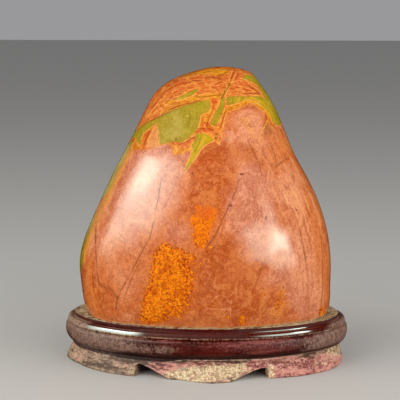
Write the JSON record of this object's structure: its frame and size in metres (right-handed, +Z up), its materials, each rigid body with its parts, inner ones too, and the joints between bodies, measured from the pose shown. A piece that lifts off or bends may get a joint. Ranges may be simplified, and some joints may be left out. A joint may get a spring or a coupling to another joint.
{
  "type": "display stone on a stand",
  "caption": "Polished pear-shaped jasper viewing stone seated in a moulded oval hardwood stand with arched feet and a dropped middle.",
  "frame": {"origin": "on the surface that the stand rests on, under the middle of the whole object", "axes": "+Z up, +X the viewer's right, -Y the front with the green and orange markings"},
  "size_m": [0.224, 0.1482, 0.2316],
  "materials": {
    "polished_jasper": "polished",
    "lacquered_wood": "satin"
  },
  "bodies": {
    "root": {"jasper_stone": "polished_jasper", "wood_stand": "lacquered_wood"}
  },
  "joints": []
}
